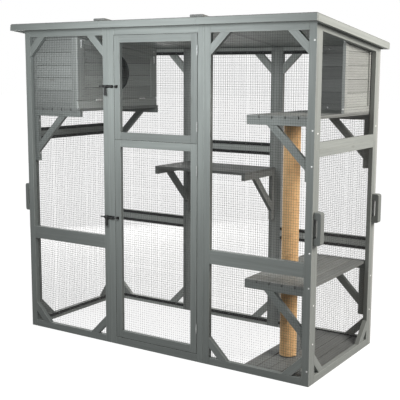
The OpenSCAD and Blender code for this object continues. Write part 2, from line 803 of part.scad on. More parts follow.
// Flat hook that hangs from its pin, with a notch near its tip that is open towards the side given
module hook(t, side) {
    notch_d = stud_d + 0.8;
    color(zinc) on_hatch_face(t, hook_z(t)) translate([0, 0, hook_off]) difference() {
        linear_extrude(hook_t) difference() {
            union() {
                circle(d = 12, $fn = round_fn);
                bar(0, hook_reach, -3.5, 3.5);
                translate([hook_reach, 0]) circle(d = 13, $fn = round_fn);
            }
            translate([hook_reach, 0]) circle(d = notch_d, $fn = round_fn);
            translate([hook_reach - notch_d / 2, side > 0 ? 0 : -8]) square([notch_d, 8]);
        }
        translate([0, 0, -1]) cylinder(h = hook_t + 2, d = hook_pin_d + 2 * pin_fit, $fn = round_fn);
    }
}

module front_hook() hook(hook_t_places[0], 1);
module rear_hook() hook(hook_t_places[1], -1);

module nook_back_screen()
    standing_screen(inner_x - seam - nook_w, inner_x - seam, condo_back - screen_t,
        roof_z(condo_back) - seam, true);

module nook_side_screen()
    flanking_screen(inner_x - seam - screen_t, condo_back - nook_w - screen_t - seam,
        condo_back - screen_t - seam, 0);

post_lengths = [[deck_z + seam, lower_shelf_z - slat_t - seam],
    [lower_shelf_z + seam, upper_shelf_z - slat_t - seam]];

module at_post() translate([half_w - post_s, front_y + post_t, 0]) children();

module post_sisal()
    color(sisal) at_post() for (l = post_lengths) tube(post_d, core_d + 2 * seam, l[0], l[1]);

module post_cores()
    color("#a58c6a") at_post() for (l = post_lengths) tube(core_d, core_d - 2 * core_wall, l[0], l[1]);

// Outline of a handle with its finger slot, standing out from 0
module handle_outline() {
    r = 12;
    slot_r = 9;
    slot_low = (handle_h - slot_h) / 2;
    slot_high = (handle_h + slot_h) / 2;
    difference() {
        union() {
            bar(0, handle_out - r, 0, handle_h);
            bar(0, handle_out, r, handle_h - r);
            for (z = [r, handle_h - r]) translate([handle_out - r, z]) circle(r = r, $fn = round_fn);
        }
        bar(-1, slot_w - slot_r, slot_low, slot_high);
        bar(-1, slot_w, slot_low + slot_r, slot_high - slot_r);
        for (z = [slot_low + slot_r, slot_high - slot_r])
            translate([slot_w - slot_r, z]) circle(r = slot_r, $fn = round_fn);
    }
}

module carry_handles()
    color(grey) for (side = [1, -1], t = [handle_inset, depth - handle_inset - handle_w])
        translate([side * (half_w + seam), front_y + t + handle_w, handle_z]) rotate([90, 0, 0])
            linear_extrude(handle_w) mirror([side > 0 ? 0 : 1, 0]) handle_outline();

front_left_panel();
front_right_panel();
front_door_frame();
back_left_panel();
back_middle_panel();
back_right_panel();
left_lower_frame();
left_upper_frame();
right_lower_frame();
right_upper_frame();
lower_door();
upper_door();
net_front_left();
net_front_right();
net_back();
net_left();
net_right();
net_lower_door();
net_upper_door();
post_hinge_leaves();
hinge_pins();
lower_door_leaves();
upper_door_leaves();
latch_plates();
lower_latch_bolt();
upper_latch_bolt();
lower_latch_lever();
upper_latch_lever();
lower_latch_catch();
upper_latch_catch();
roof_left();
roof_middle();
roof_right();
roof_sheets();
roof_battens();
upper_left_shelf();
upper_right_shelf();
lower_right_shelf();
middle_shelf();
floor_deck();
upper_left_brackets();
upper_right_brackets();
lower_right_brackets();
middle_shelf_brackets();
condo_front_screen();
condo_back_screen();
condo_outer_screen();
condo_rails();
condo_hatch();
hatch_rail_fittings();
hatch_fittings();
front_hook();
rear_hook();
nook_back_screen();
nook_side_screen();
post_sisal();
post_cores();
carry_handles();
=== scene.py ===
import json
import math
import random

import bpy
from mathutils import Matrix, Vector


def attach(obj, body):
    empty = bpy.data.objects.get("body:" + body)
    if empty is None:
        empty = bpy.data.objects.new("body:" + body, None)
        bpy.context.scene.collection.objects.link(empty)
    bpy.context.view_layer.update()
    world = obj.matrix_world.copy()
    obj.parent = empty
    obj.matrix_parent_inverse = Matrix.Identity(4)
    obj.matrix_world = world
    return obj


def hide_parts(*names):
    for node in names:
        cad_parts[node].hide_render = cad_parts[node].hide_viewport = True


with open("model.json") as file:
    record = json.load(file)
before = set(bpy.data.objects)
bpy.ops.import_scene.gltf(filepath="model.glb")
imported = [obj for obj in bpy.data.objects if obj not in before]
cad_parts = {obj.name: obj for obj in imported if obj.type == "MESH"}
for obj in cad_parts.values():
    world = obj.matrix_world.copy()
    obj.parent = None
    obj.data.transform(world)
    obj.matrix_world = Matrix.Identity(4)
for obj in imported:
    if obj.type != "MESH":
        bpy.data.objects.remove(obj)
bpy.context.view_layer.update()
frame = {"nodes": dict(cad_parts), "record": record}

# Places in metres, as in the part's source: X along the front, Y from the front wall to the
# back wall, Z up. A place "in" is measured from the face of the front wall.
front_y = -0.374
depth = 0.788
wall = 0.024
half_width = 0.9
panel = 0.6
front_top = 1.712
back_top = 1.626
roof_fall = (front_top - back_top) / (depth - wall)
inner_x = 0.8714
inner_front = 0.0286
inner_back = 0.7594
side_split = 1.13
hole_in = 0.387
hole_up = 1.479

record = frame["record"]
slot_of = {part["node"]: part["material_slot"] for part in record["subparts"]}
body_of = {node: body for body, nodes in record["behaviour"]["bodies"].items() for node in nodes}


def roof_height(place_in):
    return front_top - roof_fall * (place_in - wall)


# Picking and editing


def pick_only(*objects):
    """Deselects everything else, and makes the first of these objects the active one."""
    if bpy.context.object and bpy.context.object.mode != "OBJECT":
        bpy.ops.object.mode_set(mode="OBJECT")
    bpy.ops.object.select_all(action="DESELECT")
    for each in objects:
        each.select_set(True)
    bpy.context.view_layer.objects.active = objects[0]


def nothing_picked():
    if bpy.context.object and bpy.context.object.mode != "OBJECT":
        bpy.ops.object.mode_set(mode="OBJECT")
    bpy.ops.object.select_all(action="DESELECT")


def open_edit():
    bpy.ops.object.mode_set(mode="EDIT")


def close_edit():
    bpy.ops.object.mode_set(mode="OBJECT")


def settle(piece):
    """Puts the piece's place, turn and size into its mesh."""
    pick_only(piece)
    bpy.ops.object.transform_apply(location=True, rotation=True, scale=True)


def modifier(piece, kind, **settings):
    """Adds a modifier to the piece and applies it."""
    pick_only(piece)
    bpy.ops.object.modifier_add(type=kind)
    added = piece.modifiers[-1]
    for setting, value in settings.items():
        setattr(added, setting, value)
    bpy.ops.object.modifier_apply(modifier=added.name)


def joined(pieces, name):
    pick_only(*pieces)
    if len(pieces) > 1:
        bpy.ops.object.join()
    pieces[0].name = name
    return pieces[0]


def copy_to(piece, place):
    """A copy of a finished shape with its own mesh, moved by a matrix."""
    made = bpy.data.objects.new(piece.name, piece.data.copy())
    made.data.transform(place)
    bpy.context.scene.collection.objects.link(made)
    return made


def discard(*pieces):
    pick_only(*pieces)
    bpy.ops.object.delete()


def block(place, size):
    """A box of this size with its middle at this place."""
    nothing_picked()
    bpy.ops.mesh.primitive_cube_add(size=1, location=place)
    made = bpy.context.object
    made.scale = size
    settle(made)
    return made


def close_open_ends():
    """In edit mode, fills the open ends of a swept shape, and picks all of it."""
    bpy.ops.mesh.select_mode(type="EDGE")
    bpy.ops.mesh.select_all(action="DESELECT")
    bpy.ops.mesh.select_non_manifold(extend=False)
    bpy.ops.mesh.edge_face_add()
    bpy.ops.mesh.select_all(action="SELECT")


def smooth(piece, degrees):
    pick_only(piece)
    bpy.ops.object.shade_smooth_by_angle(angle=math.radians(degrees))


def hand_over(piece, body, slot, looks, *nodes):
    """Gives a finished piece its materials, its body and the nodes that it stands for."""
    piece.data.materials.clear()
    for look in looks:
        piece.data.materials.append(look)
    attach(piece, body)
    if nodes:
        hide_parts(*nodes)


# Materials


def new_material(name):
    made = bpy.data.materials.new(name)
    made.use_nodes = True
    return made, made.node_tree, made.node_tree.nodes["Principled BSDF"]


def add(tree, kind, values=(), **settings):
    """A shader node of this kind, with its settings and some of its inputs filled in."""
    made = tree.nodes.new("ShaderNode" + kind)
    for setting, value in settings.items():
        setattr(made, setting, value)
    for place, value in dict(values).items():
        made.inputs[place].default_value = value
    return made


def feed(tree, value, socket):
    """Links another node's output to the socket, or writes a constant into it."""
    if isinstance(value, bpy.types.NodeSocket):
        tree.links.new(value, socket)
    else:
        socket.default_value = value


def mixed(tree, factor, first, second, mode="MIX"):
    made = add(tree, "Mix", data_type="RGBA", blend_type=mode)
    for place, value in ((0, factor), (6, first), (7, second)):
        feed(tree, value, made.inputs[place])
    return made.outputs[2]


def spread(tree, value, low, high, to_low=0.0, to_high=1.0):
    made = add(tree, "MapRange", {1: low, 2: high, 3: to_low, 4: to_high})
    feed(tree, value, made.inputs[0])
    return made.outputs[0]


def sums(tree, operation, first, second=0.0):
    made = add(tree, "Math", operation=operation)
    feed(tree, first, made.inputs[0])
    feed(tree, second, made.inputs[1])
    return made.outputs[0]


def stretched(tree, place, scale):
    made = add(tree, "Mapping", {"Scale": scale})
    feed(tree, place, made.inputs["Vector"])
    return made.outputs[0]


def noise(tree, place, scale, detail=3.0, roughness=0.55):
    made = add(tree, "TexNoise", {"Scale": 1.0, "Detail": detail, "Roughness": roughness})
    feed(tree, stretched(tree, place, scale), made.inputs["Vector"])
    return made.outputs[0]


def cells(tree, place, scale):
    """Distance from the middle of a cell, and a random number for each cell."""
    made = add(tree, "TexVoronoi", {"Scale": 1.0})
    feed(tree, stretched(tree, place, scale), made.inputs["Vector"])
    parts = add(tree, "SeparateColor")
    feed(tree, made.outputs["Color"], parts.inputs[0])
    return made.outputs["Distance"], parts.outputs[0]


def raise_by(tree, shader, height, distance, strength):
    made = add(tree, "Bump", {"Distance": distance, "Strength": strength})
    feed(tree, height, made.inputs["Height"])
    feed(tree, made.outputs[0], shader.inputs["Normal"])


def grey(red, green, blue):
    return (red, green, blue, 1.0)


def painted_wood(name, thin_paint, full_paint, knot_colour):
    """Thin grey-green stain on softwood, with streaks, fibres and faint knots along each board."""
    made, tree, shader = new_material(name)
    grain = add(tree, "Attribute", attribute_name="grain").outputs["Vector"]
    # The tone attribute holds each board's random tone together with painted light and shade.
    tone = add(tree, "Attribute", attribute_name="tone").outputs["Fac"]
    clouds = noise(tree, grain, (2.5, 12, 12), 2)
    streaks = noise(tree, grain, (2.0, 85, 85), 4, 0.6)
    fibres = noise(tree, grain, (16, 560, 560), 3, 0.65)
    away, chance = cells(tree, grain, (4.5, 13, 13))
    knot = sums(tree, "MULTIPLY", spread(tree, away, 0.13, 0.05), spread(tree, chance, 0.74, 0.76))
    cover = sums(tree, "ADD", sums(tree, "MULTIPLY", streaks, 0.55), sums(tree, "MULTIPLY", clouds, 0.3))
    cover = sums(tree, "ADD", cover, sums(tree, "MULTIPLY", fibres, 0.25))
    colour = mixed(tree, spread(tree, cover, 0.38, 0.7), thin_paint, full_paint)
    colour = mixed(tree, sums(tree, "MULTIPLY", knot, 0.4), colour, knot_colour)
    shade = add(tree, "HueSaturation")
    feed(tree, spread(tree, tone, -11.0, 11.0, 0.01, 1.99), shade.inputs["Value"])
    feed(tree, colour, shade.inputs["Color"])
    feed(tree, shade.outputs[0], shader.inputs["Base Color"])
    feed(tree, spread(tree, fibres, 0.3, 0.7, 0.7, 0.52), shader.inputs["Roughness"])
    height = sums(tree, "ADD", fibres, sums(tree, "MULTIPLY", streaks, 0.8))
    height = sums(tree, "SUBTRACT", height, sums(tree, "MULTIPLY", knot, 0.5))
    raise_by(tree, shader, height, 0.0006, 0.45)
    shader.inputs["Specular IOR Level"].default_value = 0.35
    return made


def plain_metal(name, dull, bright, metallic, rough, grain_scale, bump):
    """Coated or plated steel with a mottled tone and finely uneven gloss."""
    made, tree, shader = new_material(name)
    place = add(tree, "TexCoord").outputs["Object"]
    mottle = noise(tree, place, (35, 35, 35), 3)
    speckle = noise(tree, place, (grain_scale,) * 3, 2)
    chance = cells(tree, place, (grain_scale / 3,) * 3)[1]
    share = sums(tree, "ADD", sums(tree, "MULTIPLY", mottle, 0.6), sums(tree, "MULTIPLY", chance, 0.4))
    feed(tree, mixed(tree, spread(tree, share, 0.25, 0.75), dull, bright), shader.inputs["Base Color"])
    feed(tree, spread(tree, speckle, 0.3, 0.7, rough[0], rough[1]), shader.inputs["Roughness"])
    raise_by(tree, shader, speckle, bump, 0.35)
    shader.inputs["Metallic"].default_value = metallic
    return made


def mineral_felt(name):
    """Bitumen felt with pressed-in mineral granules."""
    made, tree, shader = new_material(name)
    place = add(tree, "TexCoord").outputs["Object"]
    away, chance = cells(tree, place, (620, 620, 620))
    patches = noise(tree, place, (5, 5, 5), 4)
    granule = mixed(tree, spread(tree, chance, 0.2, 0.95), grey(0.06, 0.062, 0.06), grey(0.27, 0.275, 0.262))
    colour = mixed(tree, spread(tree, patches, 0.35, 0.7, 0.0, 0.35), granule, grey(0.1, 0.1, 0.094))
    feed(tree, colour, shader.inputs["Base Color"])
    feed(tree, spread(tree, chance, 0.0, 1.0, 0.95, 0.75), shader.inputs["Roughness"])
    raise_by(tree, shader, spread(tree, away, 0.6, 0.1), 0.0007, 0.7)
    return made


def wound_sisal(name):
    """Twisted plant-fibre rope; the winding attribute holds metres along it and turns round it."""
    made, tree, shader = new_material(name)
    winding = add(tree, "Attribute", attribute_name="winding").outputs["Vector"]
    parts = add(tree, "SeparateXYZ")
    feed(tree, winding, parts.inputs[0])
    along, around = parts.outputs[0], parts.outputs[1]
    turns = sums(tree, "ADD", sums(tree, "MULTIPLY", along, 55.0), around)
    strand = sums(tree, "SINE", sums(tree, "MULTIPLY", turns, 3 * 2 * math.pi))
    strand = spread(tree, strand, -1.0, 1.0)
    place = add(tree, "TexCoord").outputs["Object"]
    hairs = noise(tree, place, (420, 420, 900), 4, 0.7)
    patches = noise(tree, place, (22, 22, 60), 3)
    tone = sums(tree, "ADD", sums(tree, "MULTIPLY", hairs, 0.5), sums(tree, "MULTIPLY", patches, 0.5))
    colour = mixed(tree, spread(tree, tone, 0.3, 0.7), grey(0.72, 0.43, 0.2), grey(0.98, 0.7, 0.37))
    # Darker in the grooves between strands, where the bump is lowest: painted shade in the creases.
    colour = mixed(tree, spread(tree, strand, 0.0, 0.5, 0.45, 0.0), colour, grey(0.42, 0.22, 0.095))
    feed(tree, colour, shader.inputs["Base Color"])
    feed(tree, spread(tree, hairs, 0.3, 0.7, 0.95, 0.75), shader.inputs["Roughness"])
    height = sums(tree, "ADD", strand, sums(tree, "MULTIPLY", hairs, 0.6))
    raise_by(tree, shader, height, 0.0009, 0.8)
    shader.inputs["Sheen Weight"].default_value = 0.15
    shader.inputs["Specular IOR Level"].default_value = 0.2
    return made


def pressed_card(name):
    made, tree, shader = new_material(name)
    place = add(tree, "TexCoord").outputs["Object"]
    pulp = noise(tree, place, (160, 160, 160), 5, 0.7)
    feed(tree, mixed(tree, pulp, grey(0.26, 0.18, 0.11), grey(0.46, 0.34, 0.22)), shader.inputs["Base Color"])
    feed(tree, spread(tree, pulp, 0.3, 0.7, 0.9, 0.8), shader.inputs["Roughness"])
    raise_by(tree, shader, pulp, 0.0004, 0.4)
    return made


paint = painted_wood("grey_paint", grey(0.195, 0.208, 0.199), grey(0.262, 0.28, 0.268),
                     grey(0.115, 0.12, 0.108))
paint_edge = painted_wood("rubbed_edge", grey(0.26, 0.276, 0.262), grey(0.345, 0.365, 0.345),
                          grey(0.2, 0.2, 0.175))
# A darker copy of the grey paint, with its edge, for the boards of the shaded_boards slot: painted shade.
shaded_copy_paint = painted_wood("shelf_paint_painted_shade", grey(0.175, 0.182, 0.175), grey(0.24, 0.25, 0.24),
                           grey(0.1, 0.1, 0.09))
shaded_copy_edge = painted_wood("shelf_edge_painted_shade", grey(0.2, 0.208, 0.2), grey(0.27, 0.28, 0.27),
                          grey(0.13, 0.13, 0.115))
# A lighter copy of the grey paint, with its edge, for the screens, back panels and condo rails: painted light
# on these inner walls.
screen_paint_painted_light = painted_wood("screen_paint_painted_light", grey(0.4, 0.415, 0.395), grey(0.52, 0.54, 0.52),
                            grey(0.25, 0.24, 0.21))
screen_edge_painted_light = painted_wood("screen_edge_painted_light", grey(0.44, 0.455, 0.435), grey(0.56, 0.58, 0.56),
                           grey(0.3, 0.29, 0.26))
wire_coat = plain_metal("dark_wire", grey(0.035, 0.037, 0.037), grey(0.075, 0.078, 0.078), 0.3,
                        (0.4, 0.6), 900, 0.0001)
zinc = plain_metal("dull_zinc", grey(0.26, 0.27, 0.27), grey(0.42, 0.43, 0.42), 0.8, (0.4, 0.58),
                   500, 0.0001)
# Pale plated steel for screw heads, hooks and hinge knuckles; its near-white colour at low metallic is partly
# the steel's own and partly painted glint.
plated_steel_and_painted_glint = plain_metal("plated_steel_and_painted_glint", grey(0.8, 0.8, 0.79), grey(0.95, 0.95, 0.94), 0.2,
                           (0.3, 0.42), 700, 0.00005)
black_coat = plain_metal("black_coat", grey(0.005, 0.005, 0.005), grey(0.012, 0.012, 0.012), 0.0,
                         (0.5, 0.65), 1400, 0.00015)
leaf_paint = plain_metal("painted_leaf", grey(0.36, 0.37, 0.355), grey(0.43, 0.44, 0.425), 0.0,
                         (0.55, 0.7), 900, 0.0001)
hole_paint = plain_metal("hole_edge", grey(0.03, 0.031, 0.03), grey(0.06, 0.062, 0.06), 0.0,
                         (0.7, 0.85), 900, 0.0001)
strip_coat = plain_metal("black_strip", grey(0.006, 0.006, 0.006), grey(0.012, 0.012, 0.012), 0.0,
                         (0.75, 0.9), 1400, 0.0001)
felt = mineral_felt("roof_felt")
sisal = wound_sisal("sisal_rope")
card = pressed_card("card_tube")

# The shaded_boards slot takes the darker copy of the paint, painted shade.
looks_of = {
    "grey_boards": (paint, paint_edge),
    "shaded_boards": (shaded_copy_paint, shaded_copy_edge),
    "wire": (wire_coat,),
    "zinc": (zinc,),
    "black_metal": (black_coat,),
    "felt": (felt,),
    "sisal": (sisal,),
    "card": (card,),
}


# Boards and fittings that keep the outline of their CAD node


def merged_copy(node, name):
    """A copy of a CAD node's mesh, with its points merged and its flat faces made whole."""
    nothing_picked()
    source = frame["nodes"][node]
    piece = bpy.data.objects.new(name, source.data.copy())
    bpy.context.scene.collection.objects.link(piece)
    pick_only(piece)
    open_edit()
    bpy.ops.mesh.select_all(action="SELECT")
    bpy.ops.mesh.customdata_custom_splitnormals_clear()
    bpy.ops.mesh.remove_doubles(threshold=0.000002)
    bpy.ops.mesh.dissolve_limited(angle_limit=math.radians(1.0))
    close_edit()
    for layer in list(piece.data.uv_layers):
        piece.data.uv_layers.remove(layer)
    return piece


def separate_solids(mesh):
    """Lists of the points of each solid in a mesh."""
    first = list(range(len(mesh.vertices)))

    def root(point):
        while first[point] != point:
            first[point] = first[first[point]]
            point = first[point]
        return point

    for edge in mesh.edges:
        a, b = root(edge.vertices[0]), root(edge.vertices[1])
        first[max(a, b)] = min(a, b)
    groups = {}
    for point in range(len(first)):
        groups.setdefault(root(point), []).append(point)
    return [groups[key] for key in sorted(groups)]


def box_of(mesh, points):
    """Least and greatest place of some points of a mesh."""
    spots = [mesh.vertices[i].co for i in points]
    return [[pick(spot[axis] for spot in spots) for axis in range(3)] for pick in (min, max)]


hole_middle = Vector((0, front_y + hole_in, hole_up))
hole_radius = 0.1
hole_clearance = 0.002
hole_edge_reach = 0.0012
siding_limit = 0.0125
tongue_limit = 0.004
tongue_gap = (0.001, 0.0022)
tongue_w = 0.007
tongue_inset = 0.0005
slat_gap = (0.004, 0.006)
gap_strip_lift = 0.004
gap_strip_play = 0.0004
gap_strip_inset = 0.004
strip_t = 0.003
shortest_strip = 0.02
same_place = 0.0001


def beside_hole(start, end, height):
    """The stretches of a level tongue that stay clear of the round hole of the hatch."""
    off = abs(height - hole_middle.z)
    if off >= hole_radius:
        return [(start, end)]
    half = math.sqrt(hole_radius ** 2 - off ** 2) + hole_clearance
    low, high = hole_middle.y - half, hole_middle.y + half
    stretches = ((start, min(end, low)), (max(start, high), end))
    return [(a, b) for a, b in stretches if b - a > shortest_strip]


def fill_grooves(piece):
    """Adds the tongue between each two level boards of a screen, in two parts at the round hole; the tongues
    are toned near-black, painted shadow in the grooves.
    """
    mesh = piece.data
    boards = [box_of(mesh, points) for points in separate_solids(mesh)]
    tongues = {}
    for lower in boards:
        for upper in boards:
            gap = upper[0][2] - lower[1][2]
            flat = min((0, 1), key=lambda axis: lower[1][axis] - lower[0][axis])
            thick = lower[1][flat] - lower[0][flat]
            same_plane = all(abs(upper[end][flat] - lower[end][flat]) < same_place for end in (0, 1))
            if not (tongue_gap[0] < gap < tongue_gap[1] and same_plane and thick < siding_limit):
                continue
            run = 1 - flat
            start = max(lower[0][run], upper[0][run]) + tongue_inset
            end = min(lower[1][run], upper[1][run]) - tongue_inset
            if end - start < shortest_strip:
                continue
            middle = (lower[0][flat] + lower[1][flat]) / 2
            height = (upper[0][2] + lower[1][2]) / 2
            stretches = [(start, end)]
            if piece.name.startswith("condo_hatch"):
                stretches = beside_hole(start, end, height)
            for a, b in stretches:
                tongues[round(height, 4), round(a, 3)] = flat, middle, a, b, height
    made = [piece]
    for flat, middle, start, end, height in tongues.values():
        place = (middle, (start + end) / 2, height) if flat == 0 else ((start + end) / 2, middle, height)
        size = (strip_t, end - start, tongue_w) if flat == 0 else (end - start, strip_t, tongue_w)
        made.append(block(place, size))
    return joined(made, piece.name)


def fill_slat_gaps(piece):
    """Adds a thin strip low in the gap between each two slats; its near-black tone is painted shadow in the
    gap.
    """
    mesh = piece.data
    slats = [box_of(mesh, points) for points in separate_solids(mesh)]
    made = [piece]
    for near in slats:
        for far in slats:
            for across in (0, 1):
                gap = far[0][across] - near[1][across]
                level = abs(far[1][2] - near[1][2]) < same_place
                run = 1 - across
                in_line = abs(far[0][run] - near[0][run]) < same_place
                if not (slat_gap[0] < gap < slat_gap[1] and level and in_line):
                    continue
                middle = [0, 0, near[0][2] + gap_strip_lift]
                middle[across] = near[1][across] + gap / 2
                middle[run] = (near[0][run] + near[1][run]) / 2
                size = [0, 0, strip_t]
                size[across] = gap - gap_strip_play
                size[run] = near[1][run] - near[0][run] - gap_strip_inset
                made.append(block(middle, size))
    return joined(made, piece.name)


# Tones run from -11, nearly black, over 0, the paint as mixed, to 11, nearly twice as light. The set tones
# below are painted light and shade.
# Near-black tone of thin strips: painted shadow in the grooves and slat gaps.
groove_painted_shadow = -10.8
back_stile_painted_shade = -3.5
door_top_painted_shade = -3
front_fascia_painted_shade = -1.5
other_fascia_painted_light = 2
ceiling_painted_light = 7
fascia_front_y = front_y - 0.078
fascia_limit = 0.025
tall_stile = 1
door_top_rail_z = 1.6
grain_shift = (40, 3, 3)


def painted_light_on_roof(low, high):
    """The painted light or shade of a roof board by its place: front fascia, other fascias, or ceiling."""
    if low.y < fascia_front_y:
        return front_fascia_painted_shade
    upright = high.x - low.x < fascia_limit or low.y > -front_y
    return other_fascia_painted_light if upright else ceiling_painted_light


def painted_light_by_place(name, low, high, node_painted_light):
    """Painted light and shade by place: roof boards, the back wall's tall stiles and the upper door's top
    rail have tones of their own for how light falls on them.
    """
    if name.startswith("roof_"):
        return painted_light_on_roof(low, high)
    if name.startswith("back_") and high.z - low.z > tall_stile:
        return back_stile_painted_shade
    if name.startswith("upper_door") and low.z > door_top_rail_z:
        return door_top_painted_shade
    return node_painted_light


def mark_boards(piece, seed, node_painted_light):
    """Writes on each board its length direction, its own place in the grain and its tone: a random part with
    painted light and shade by node and place, or painted shadow on thin strips.
    """
    chance = random.Random(seed)
    mesh = piece.data
    mesh.attributes.new("board_length", "FLOAT_VECTOR", "POINT")
    mesh.attributes.new("board_place", "FLOAT_VECTOR", "POINT")
    mesh.attributes.new("tone", "FLOAT", "POINT")
    direction = mesh.attributes["board_length"]
    offset = mesh.attributes["board_place"]
    tone = mesh.attributes["tone"]
    longest = {}
    solid_of = {}
    solids = separate_solids(mesh)
    for number, points in enumerate(solids):
        for point in points:
            solid_of[point] = number
    for edge in mesh.edges:
        a, b = (mesh.vertices[i].co for i in edge.vertices)
        number = solid_of[edge.vertices[0]]
        if number not in longest or (b - a).length > longest[number].length:
            longest[number] = b - a
    for number, points in enumerate(solids):
        along = longest[number].normalized()
        place = [chance.uniform(0, reach) for reach in grain_shift]
        low, high = box_of(mesh, points)
        thinnest = min(high[axis] - low[axis] for axis in range(3))
        painted_light_at_place = painted_light_by_place(piece.name, Vector(low), Vector(high), node_painted_light)
        # Thin strips, the tongues and the strips in the slat gaps, get a near-black tone: painted shadow in
        # the grooves and gaps.
        shade = groove_painted_shadow if thinnest < tongue_limit else chance.uniform(-1, 1) + painted_light_at_place
        for point in points:
            direction.data[point].vector = along
            offset.data[point].vector = place
            tone.data[point].value = shade


def lay_grain(piece):
    """Turns the marks of each board into a place along, across and through its grain."""
    mesh = piece.data
    size = len(mesh.vertices)
    mesh.attributes.new("grain", "FLOAT_VECTOR", "POINT")
    grain = mesh.attributes["grain"]
    direction = mesh.attributes["board_length"]
    offset = mesh.attributes["board_place"]
    world = (Vector((1, 0, 0)), Vector((0, 1, 0)), Vector((0, 0, 1)))
    frames = {}
    for i in range(size):
        along = direction.data[i].vector.normalized()
        key = tuple(round(value, 4) for value in along)
        if key not in frames:
            through = min(world, key=lambda axis: abs(axis.dot(along)))
            through = (through - along * through.dot(along)).normalized()
            frames[key] = along, through.cross(along), through
        axes = frames[key]
        point = mesh.vertices[i].co
        place = Vector((point.dot(axes[0]), point.dot(axes[1]), point.dot(axes[2])))
        grain.data[i].vector = place + offset.data[i].vector
    mesh.attributes.remove(mesh.attributes["board_length"])
    mesh.attributes.remove(mesh.attributes["board_place"])


def round_edges(piece, width, steps, edge_look=-1):
    pick_only(piece)
    bpy.ops.object.shade_smooth()
    modifier(piece, "BEVEL", width=width, segments=steps, limit_method="ANGLE",
             angle_limit=math.radians(28), use_clamp_overlap=False, harden_normals=True,
             material=edge_look)


board_edge = 0.0013
siding_edge = 0.0007
handle_edge = 0.0025
sided = ("condo_front_screen", "condo_back_screen", "condo_outer_screen", "condo_hatch",
         "nook_back_screen", "nook_side_screen")
slatted = ("upper_left_shelf", "upper_right_shelf", "lower_right_shelf", "middle_shelf", "floor_deck")
inner_walls = sided + ("condo_rails", "back_left_panel", "back_middle_panel", "back_right_panel")
# Painted light and shade by node: each tone makes a node's boards lighter or darker for how light falls on
# them there.
painted_light_of_node = {
    "front_left_panel": -0.5, "back_left_panel": 3, "back_middle_panel": 1.5, "back_right_panel": 1.5,
    "upper_door": -1.5, "lower_door": 0.5, "carry_handles": -2.8,
    "condo_front_screen": -4.5, "condo_hatch": -2, "nook_back_screen": -7, "nook_side_screen": -2.5,
    "middle_shelf": -1, "upper_right_shelf": 1, "lower_right_shelf": -0.5, "floor_deck": -3,
}
edge_of = {"carry_handles": handle_edge, **{node: siding_edge for node in sided}}


def darken_hole(piece):
    """The faces at the edge of the round hole get a near-black material."""
    mesh = piece.data
    mesh.materials.append(hole_paint)
    for face in mesh.polygons:
        points = [mesh.vertices[i].co for i in face.vertices]
        farthest = max(math.hypot(point.y - hole_middle.y, point.z - hole_middle.z) for point in points)
        if farthest < hole_radius + hole_edge_reach:
            face.material_index = 2


def dress_boards(node):
    piece = merged_copy(node, node + "_boards")
    if node in sided:
        piece = fill_grooves(piece)
    elif node in slatted:
        piece = fill_slat_gaps(piece)
    # Inner walls take the lighter copy of the paint, painted light.
    looks = (screen_paint_painted_light, screen_edge_painted_light) if node in inner_walls else looks_of[slot_of[node]]
    mark_boards(piece, node, painted_light_of_node.get(node, 0))
    piece.data.materials.clear()
    for look in looks:
        piece.data.materials.append(look)
    round_edges(piece, edge_of.get(node, board_edge), 2, 1)
    if node == "condo_hatch":
        darken_hole(piece)
    lay_grain(piece)
    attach(piece, body_of[node])
    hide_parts(node)


def dress_fitting(node, edge, look=None):
    """Metal and felt pieces keep their node's outline and get rounded edges."""
    piece = merged_copy(node, node + "_rounded")
    round_edges(piece, edge, 2)
    looks = (look,) if look else looks_of[slot_of[node]]
    hand_over(piece, body_of[node], slot_of[node], looks, node)
    return piece


# Heights between which a fitting's faces are a painted leaf
painted_bands = {"hatch_rail_fittings": ((1.3105, 1.3238),), "hatch_fittings": ((1.3318, 1.3445),)}


def paint_leaves(piece, bands):
    """The leaves of the hatch hinges are painted over; knuckles, studs and the hooks' pins stay bright."""
    piece.data.materials.append(leaf_paint)
    for face in piece.data.polygons:
        height = sum((piece.data.vertices[i].co.z for i in face.vertices), 0.0) / len(face.vertices)
        if any(low < height < high for low, high in bands):
            face.material_index = 1


for node in sorted(slot_of):
    if slot_of[node] in ("grey_boards", "shaded_boards"):
        dress_boards(node)

fitting_edge = 0.0003
for node in ("post_hinge_leaves", "hinge_pins", "lower_door_leaves", "upper_door_leaves"):
    dress_fitting(node, fitting_edge)
for node, bands in painted_bands.items():
    paint_leaves(dress_fitting(node, fitting_edge, plated_steel_and_painted_glint), bands)
for node in ("front_hook", "rear_hook"):
    dress_fitting(node, fitting_edge, plated_steel_and_painted_glint)
latch_edge = 0.0006
dress_fitting("latch_plates", latch_edge)
for fitting in ("bolt", "lever", "catch"):
    for height in ("lower", "upper"):
        dress_fitting(f"{height}_latch_{fitting}", latch_edge)
for node, edge in (("roof_sheets", 0.0012), ("roof_battens", 0.003), ("post_cores", 0.0005)):
    dress_fitting(node, edge)


# Welded nets

mesh_pitch = 0.0127
wire_d = 0.00085
net_margin = 0.014
net_gap = 0.00015
net_spare = 0.001


def wire_row(start, length, along, step, count):
    """Equal wires of one layer: one is made at its start, and an array repeats it."""
    nothing_picked()
    middle = Vector(start) + Vector(along) * (length / 2)
    turn = Vector((0, 0, 1)).rotation_difference(Vector(along)).to_euler()
    bpy.ops.mesh.primitive_cylinder_add(vertices=6, radius=wire_d / 2, depth=length, location=middle,
                                        rotation=turn)
    wire = bpy.context.object
    settle(wire)
    modifier(wire, "ARRAY", count=count, use_relative_offset=False, use_constant_offset=True,
             constant_offset_displace=Vector(step))
    return wire


